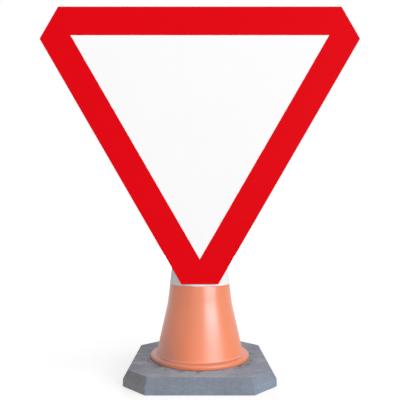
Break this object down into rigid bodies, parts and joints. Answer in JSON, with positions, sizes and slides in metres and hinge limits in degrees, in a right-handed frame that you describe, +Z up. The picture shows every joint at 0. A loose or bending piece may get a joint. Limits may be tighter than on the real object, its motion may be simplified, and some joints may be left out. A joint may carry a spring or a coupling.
{
  "type": "cone sign",
  "caption": "Inverted triangular road sign plate with a red border, carried by strap clips on a flared orange traffic cone with a reflective sleeve and a heavy octagonal base.",
  "frame": {"origin": "on the ground at the cone's axis", "axes": "+Z up along the cone's axis; +Y from the sign's face to its back; +X to the right of someone who looks at the sign's face"},
  "size_m": [0.866, 0.4, 1.0107],
  "materials": {
    "base_rubber": "matt, mottled recycled compound",
    "orange_plastic": "satin moulded",
    "sleeve_white": "reflective sheeting",
    "plate_grey": "grey coated sheet",
    "sheeting_white": "reflective sheeting",
    "border_red": "translucent film over sheeting",
    "tape_black": "foam tape",
    "rail_aluminium": "mill finish extrusion",
    "cap_plastic": "moulded",
    "clip_steel": "galvanised",
    "fastener_steel": "zinc plated"
  },
  "bodies": {
    "cone": {"base_weight": "base_rubber", "cone_body": "orange_plastic"},
    "sleeve": {"reflective_sleeve": "sleeve_white"},
    "sign": {"sign_plate": "plate_grey", "white_sheeting": "sheeting_white", "red_border": "border_red", "upper_rail_tape": "tape_black", "lower_rail_tape": "tape_black", "upper_rail": "rail_aluminium", "lower_rail": "rail_aluminium", "rail_end_caps": "cap_plastic", "upper_cone_clip": "clip_steel", "lower_cone_clip": "clip_steel", "clip_bolts": "fastener_steel", "clip_washers": "fastener_steel", "clip_nuts": "fastener_steel"}
  },
  "joints": [
    {"name": "sign_turn", "type": "hinge", "parent": "cone", "child": "sleeve", "pos_m": [0, 0, 0.417], "axis": [0, 0, 1], "continuous": true},
    {"name": "sign_lift", "type": "slide", "parent": "sleeve", "child": "sign", "axis": [0, 0, 1], "range_m": [0, 0.36]}
  ]
}
